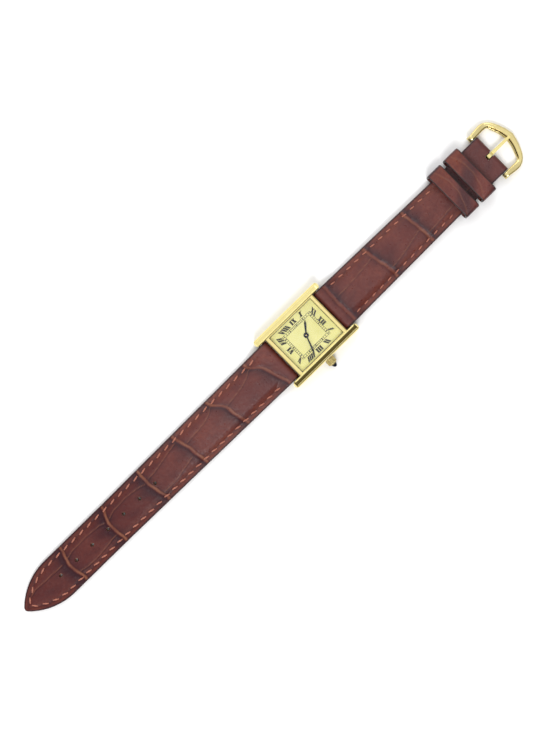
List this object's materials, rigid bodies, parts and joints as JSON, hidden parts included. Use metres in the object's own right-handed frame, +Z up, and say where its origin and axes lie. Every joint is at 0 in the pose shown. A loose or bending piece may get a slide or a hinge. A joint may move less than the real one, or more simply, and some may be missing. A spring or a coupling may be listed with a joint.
{
  "type": "wristwatch",
  "caption": "Rectangular dress wristwatch with a railed metal case, roman dial, cabochon crown and a two-part leather strap with a pin buckle.",
  "frame": {"origin": "centre of the case back's lower face, on which the watch lies", "axes": "+X to three o'clock and the crown, +Y to twelve o'clock and the buckle, +Z up through the crystal"},
  "size_m": [0.0241, 0.2189, 0.0064],
  "materials": {
    "case_metal": "polished yellow gold plating",
    "screw_steel": "bright turned steel",
    "gasket_rubber": "matte black",
    "crystal_glass": "clear polished mineral glass",
    "dial_enamel": "satin champagne lacquer",
    "hand_blue": "dark blued steel",
    "cabochon_blue": "polished dark blue stone",
    "moulded_grey": "moulded",
    "plate_brass": "satin",
    "bar_steel": "turned and ground",
    "winding_copper": "enamelled copper wire",
    "board_green": "lacquered board",
    "chip_black": "potting resin",
    "can_metal": "drawn can",
    "strap_leather": "reddish brown, embossed scales, semi gloss",
    "lining_leather": "smooth matte lining",
    "padding_felt": "pressed fibre"
  },
  "bodies": {
    "case": {"case_middle": "case_metal", "case_back": "case_metal", "case_back_screws": "screw_steel", "case_back_gasket": "gasket_rubber", "crystal": "crystal_glass", "crystal_gasket": "gasket_rubber", "dial": "dial_enamel", "movement_holder": "moulded_grey", "main_plate": "plate_brass", "train_bridge": "plate_brass", "bridge_screws": "screw_steel", "cell": "bar_steel", "cell_clamp": "bar_steel", "coil_core": "bar_steel", "coil_winding": "winding_copper", "stator": "bar_steel", "circuit_board": "board_green", "circuit_chip": "chip_black", "quartz_can": "can_metal", "crown_tube": "bar_steel", "spring_bar_12_sleeve": "bar_steel", "spring_bar_12_spring": "bar_steel", "spring_bar_6_sleeve": "bar_steel", "spring_bar_6_spring": "bar_steel"},
    "minute": {"minute_hand": "hand_blue", "cannon_pinion": "plate_brass", "centre_wheel": "plate_brass"},
    "hour": {"hour_hand": "hand_blue", "hour_wheel": "plate_brass"},
    "minute_wheel": {"minute_wheel": "plate_brass"},
    "third_wheel": {"third_wheel": "plate_brass"},
    "intermediate_wheel": {"intermediate_wheel": "plate_brass"},
    "rotor": {"rotor": "bar_steel"},
    "crown_seal": {"crown_gasket": "gasket_rubber"},
    "crown": {"crown": "case_metal", "crown_cabochon": "cabochon_blue", "winding_stem": "bar_steel"},
    "setting_lever": {"setting_lever": "bar_steel"},
    "strap_12": {"strap_12_leather": "strap_leather", "strap_12_padding": "padding_felt", "strap_12_lining": "lining_leather", "keeper_fixed": "strap_leather", "buckle_bar_sleeve": "bar_steel", "buckle_bar_spring": "bar_steel"},
    "strap_6": {"strap_6_leather": "strap_leather", "strap_6_padding": "padding_felt", "strap_6_lining": "lining_leather"},
    "buckle": {"buckle_frame": "case_metal"},
    "tongue": {"buckle_tongue": "case_metal"},
    "keeper_free": {"keeper_free": "strap_leather"},
    "spring_bar_12_tip_left": {"spring_bar_12_tip_left": "bar_steel"},
    "spring_bar_12_tip_right": {"spring_bar_12_tip_right": "bar_steel"},
    "spring_bar_6_tip_left": {"spring_bar_6_tip_left": "bar_steel"},
    "spring_bar_6_tip_right": {"spring_bar_6_tip_right": "bar_steel"},
    "buckle_bar_tip_left": {"buckle_bar_tip_left": "bar_steel"},
    "buckle_bar_tip_right": {"buckle_bar_tip_right": "bar_steel"}
  },
  "joints": [
    {"name": "minute_turn", "type": "hinge", "parent": "case", "child": "minute", "pos_m": [0, 0, 0], "axis": [0, 0, -1], "continuous": true},
    {"name": "hour_turn", "type": "hinge", "parent": "case", "child": "hour", "pos_m": [0, 0, 0], "axis": [0, 0, -1], "continuous": true},
    {"name": "minute_wheel_turn", "type": "hinge", "parent": "case", "child": "minute_wheel", "pos_m": [0.0009, -0.00156, 0], "axis": [0, 0, -1], "continuous": true},
    {"name": "third_wheel_turn", "type": "hinge", "parent": "case", "child": "third_wheel", "pos_m": [-0.00031, 0.00177, 0], "axis": [0, 0, -1], "continuous": true},
    {"name": "intermediate_wheel_turn", "type": "hinge", "parent": "case", "child": "intermediate_wheel", "pos_m": [0.00053, 0.00323, 0], "axis": [0, 0, -1], "continuous": true},
    {"name": "rotor_turn", "type": "hinge", "parent": "case", "child": "rotor", "pos_m": [-0.00017, 0.00444, 0], "axis": [0, 0, -1], "continuous": true},
    {"name": "crown_slide", "type": "slide", "parent": "case", "child": "crown_seal", "axis": [1, 0, 0], "range_m": [0, 0.0007]},
    {"name": "crown_turn", "type": "hinge", "parent": "crown_seal", "child": "crown", "pos_m": [0, 0, 0.00198], "axis": [1, 0, 0], "continuous": true},
    {"name": "lever_swing", "type": "hinge", "parent": "case", "child": "setting_lever", "pos_m": [0.0052, 0.0021, 0], "axis": [0, 0, 1], "range_deg": [0, 19.29]},
    {"name": "strap_12_hinge", "type": "hinge", "parent": "case", "child": "strap_12", "pos_m": [0, 0.01235, 0.0019], "axis": [1, 0, 0], "range_deg": [-90, 75]},
    {"name": "strap_6_hinge", "type": "hinge", "parent": "case", "child": "strap_6", "pos_m": [0, -0.01235, 0.0019], "axis": [-1, 0, 0], "range_deg": [-90, 75]},
    {"name": "buckle_hinge", "type": "hinge", "parent": "strap_12", "child": "buckle", "pos_m": [0, 0.08215, 0.0024], "axis": [1, 0, 0], "range_deg": [-80, 35]},
    {"name": "tongue_hinge", "type": "hinge", "parent": "buckle", "child": "tongue", "pos_m": [0, 0.08215, 0.0024], "axis": [1, 0, 0], "range_deg": [0, 90]},
    {"name": "keeper_slide", "type": "slide", "parent": "strap_12", "child": "keeper_free", "axis": [0, -1, 0], "range_m": [-0.0015, 0.014]},
    {"name": "spring_bar_12_tip_left_slide", "type": "slide", "parent": "case", "child": "spring_bar_12_tip_left", "axis": [1, 0, 0], "range_m": [0, 0.001], "stiffness_N_per_m": 1000, "springref_m": -0.001},
    {"name": "spring_bar_12_tip_right_slide", "type": "slide", "parent": "case", "child": "spring_bar_12_tip_right", "axis": [-1, 0, 0], "range_m": [0, 0.001], "stiffness_N_per_m": 1000, "springref_m": -0.001},
    {"name": "spring_bar_6_tip_left_slide", "type": "slide", "parent": "case", "child": "spring_bar_6_tip_left", "axis": [1, 0, 0], "range_m": [0, 0.001], "stiffness_N_per_m": 1000, "springref_m": -0.001},
    {"name": "spring_bar_6_tip_right_slide", "type": "slide", "parent": "case", "child": "spring_bar_6_tip_right", "axis": [-1, 0, 0], "range_m": [0, 0.001], "stiffness_N_per_m": 1000, "springref_m": -0.001},
    {"name": "buckle_bar_tip_left_slide", "type": "slide", "parent": "strap_12", "child": "buckle_bar_tip_left", "axis": [1, 0, 0], "range_m": [0, 0.001], "stiffness_N_per_m": 1000, "springref_m": -0.001},
    {"name": "buckle_bar_tip_right_slide", "type": "slide", "parent": "strap_12", "child": "buckle_bar_tip_right", "axis": [-1, 0, 0], "range_m": [0, 0.001], "stiffness_N_per_m": 1000, "springref_m": -0.001}
  ],
  "couplings": [
    {"joint": "hour_turn", "follows": "minute_turn", "ratio": 0.083333},
    {"joint": "minute_wheel_turn", "follows": "minute_turn", "ratio": -0.33333},
    {"joint": "third_wheel_turn", "follows": "minute_turn", "ratio": -3},
    {"joint": "intermediate_wheel_turn", "follows": "minute_turn", "ratio": 15},
    {"joint": "rotor_turn", "follows": "minute_turn", "ratio": -90},
    {"joint": "lever_swing", "follows": "crown_slide", "rad_per_m": 478.42}
  ]
}
